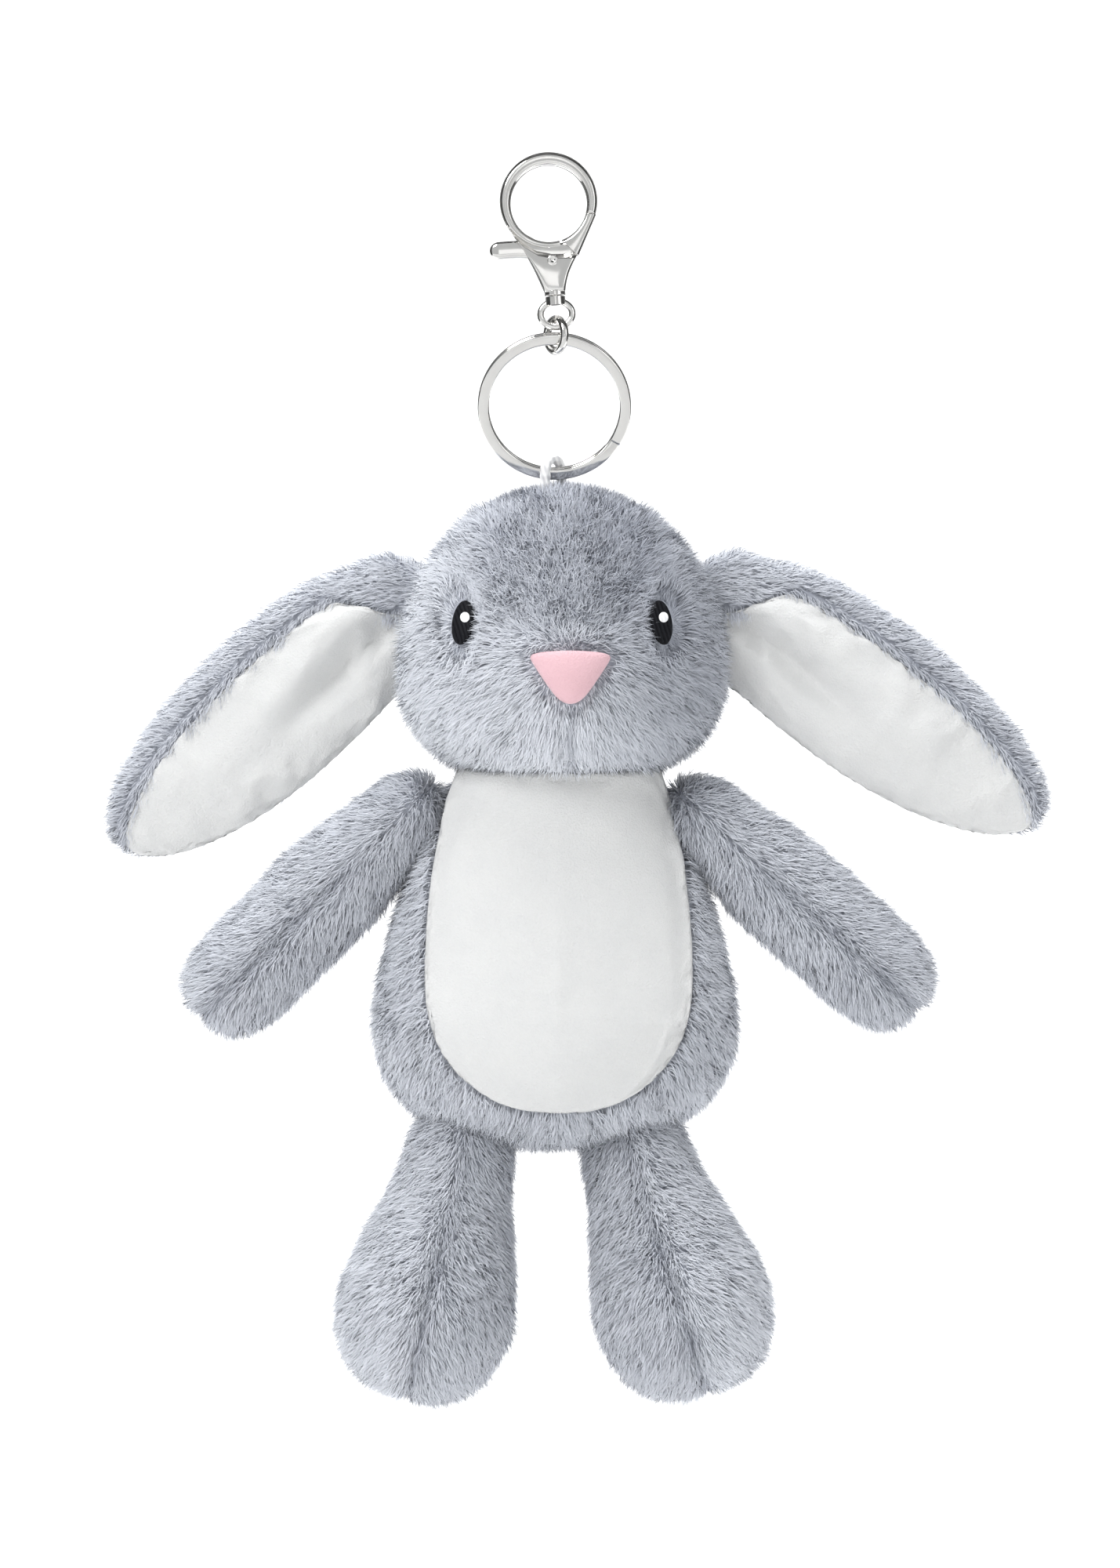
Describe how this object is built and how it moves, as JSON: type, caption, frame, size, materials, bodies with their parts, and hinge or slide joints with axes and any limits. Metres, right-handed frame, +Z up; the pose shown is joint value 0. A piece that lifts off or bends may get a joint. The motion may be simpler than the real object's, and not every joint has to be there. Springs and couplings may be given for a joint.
{
  "type": "plush keychain",
  "caption": "Plush rabbit with long lop ears and a light tummy, hung by a cord loop from a split ring, a link and a swivel snap clasp.",
  "frame": {"origin": "centre of the clasp hook's opening", "axes": "+X to the right of a viewer facing the rabbit, +Z up along the hanging toy, +Y from the rabbit's face towards its back"},
  "size_m": [0.1833, 0.0534, 0.2434],
  "materials": {
    "nickel": "polished",
    "spring_steel": "satin",
    "white_cord": "satin",
    "stuffing": "matte",
    "pink_velour": "matte",
    "white_thread": "satin",
    "black_thread": "satin",
    "white_velour": "matte",
    "white_fur": "matte",
    "grey_fur": "matte"
  },
  "bodies": {
    "clasp": {"clasp_frame": "nickel", "clasp_rivet": "nickel", "clasp_spring": "spring_steel"},
    "gate": {"clasp_gate": "nickel"},
    "swivel": {"swivel_eye": "nickel"},
    "link": {"connector_link": "nickel"},
    "ring": {"split_ring": "nickel"},
    "loop": {"hanging_loop": "white_cord"},
    "head": {"head_gusset": "grey_fur", "head_panel_left": "grey_fur", "head_panel_right": "grey_fur", "head_stuffing": "stuffing", "nose": "pink_velour", "eye_left": "black_thread", "eye_right": "black_thread", "eye_glint_left": "white_thread", "eye_glint_right": "white_thread"},
    "torso": {"torso_panel_left": "grey_fur", "torso_panel_right": "grey_fur", "tummy_panel": "white_velour", "torso_stuffing": "stuffing", "tail": "white_fur"},
    "ear_left": {"ear_back_left": "grey_fur", "ear_lining_left": "white_velour"},
    "arm_left": {"arm_panel_upper_left": "grey_fur", "arm_panel_lower_left": "grey_fur", "arm_stuffing_left": "stuffing"},
    "leg_left": {"leg_panel_outer_left": "grey_fur", "leg_panel_inner_left": "grey_fur", "leg_stuffing_left": "stuffing"},
    "ear_right": {"ear_back_right": "grey_fur", "ear_lining_right": "white_velour"},
    "arm_right": {"arm_panel_upper_right": "grey_fur", "arm_panel_lower_right": "grey_fur", "arm_stuffing_right": "stuffing"},
    "leg_right": {"leg_panel_outer_right": "grey_fur", "leg_panel_inner_right": "grey_fur", "leg_stuffing_right": "stuffing"}
  },
  "joints": [
    {"name": "gate_hinge", "type": "hinge", "parent": "clasp", "child": "gate", "pos_m": [0.00077, 0, -0.01107], "axis": [0, -1, 0], "range_deg": [0, 20], "stiffness_Nm_per_rad": 0.02, "springref_deg": -17.19},
    {"name": "swivel_turn", "type": "hinge", "parent": "clasp", "child": "swivel", "pos_m": [0.00126, 0, -0.01796], "axis": [-0.0698, 0, 0.9976], "continuous": true},
    {"name": "link_swing", "type": "hinge", "parent": "swivel", "child": "link", "pos_m": [0.00167, 0, -0.02394], "axis": [1, 0, 0], "range_deg": [-45, 45]},
    {"name": "ring_swing", "type": "hinge", "parent": "link", "child": "ring", "pos_m": [0.0014, 0, -0.0286], "axis": [0, 0.9272, 0.3746], "range_deg": [-14, 14]},
    {"name": "loop_swing", "type": "hinge", "parent": "ring", "child": "loop", "pos_m": [0.0009, 0.01041, -0.05198], "axis": [1, 0, 0], "range_deg": [-35, 35]},
    {"name": "head_tilt", "type": "hinge", "parent": "loop", "child": "head", "pos_m": [0.0009, 0.01041, -0.0544], "axis": [0, 1, 0], "range_deg": [-12, 12]},
    {"name": "neck_turn", "type": "hinge", "parent": "head", "child": "torso", "pos_m": [0.0019, 0.01041, -0.112], "axis": [0, 0, 1], "range_deg": [-20, 20], "stiffness_Nm_per_rad": 0.03},
    {"name": "ear_fold_left", "type": "hinge", "parent": "head", "child": "ear_left", "pos_m": [-0.02605, 0.01341, -0.0755], "axis": [0.4022, 0, 0.9156], "range_deg": [-30, 35], "stiffness_Nm_per_rad": 0.02},
    {"name": "ear_fold_right", "type": "hinge", "parent": "head", "child": "ear_right", "pos_m": [0.03125, 0.01341, -0.0755], "axis": [0.4022, 0, -0.9156], "range_deg": [-30, 35], "stiffness_Nm_per_rad": 0.02},
    {"name": "arm_swing_left", "type": "hinge", "parent": "torso", "child": "arm_left", "pos_m": [-0.0276, 0.01041, -0.118], "axis": [-0.7071, 0, 0.7071], "range_deg": [-25, 25], "stiffness_Nm_per_rad": 0.03},
    {"name": "arm_swing_right", "type": "hinge", "parent": "torso", "child": "arm_right", "pos_m": [0.0299, 0.01041, -0.1187], "axis": [-0.6691, 0, -0.7431], "range_deg": [-25, 25], "stiffness_Nm_per_rad": 0.03},
    {"name": "leg_swing_left", "type": "hinge", "parent": "torso", "child": "leg_left", "pos_m": [-0.0171, 0.01041, -0.1843], "axis": [-1, 0, 0], "range_deg": [-30, 40], "stiffness_Nm_per_rad": 0.04},
    {"name": "leg_swing_right", "type": "hinge", "parent": "torso", "child": "leg_right", "pos_m": [0.0167, 0.01041, -0.1843], "axis": [-1, 0, 0], "range_deg": [-30, 40], "stiffness_Nm_per_rad": 0.04}
  ]
}
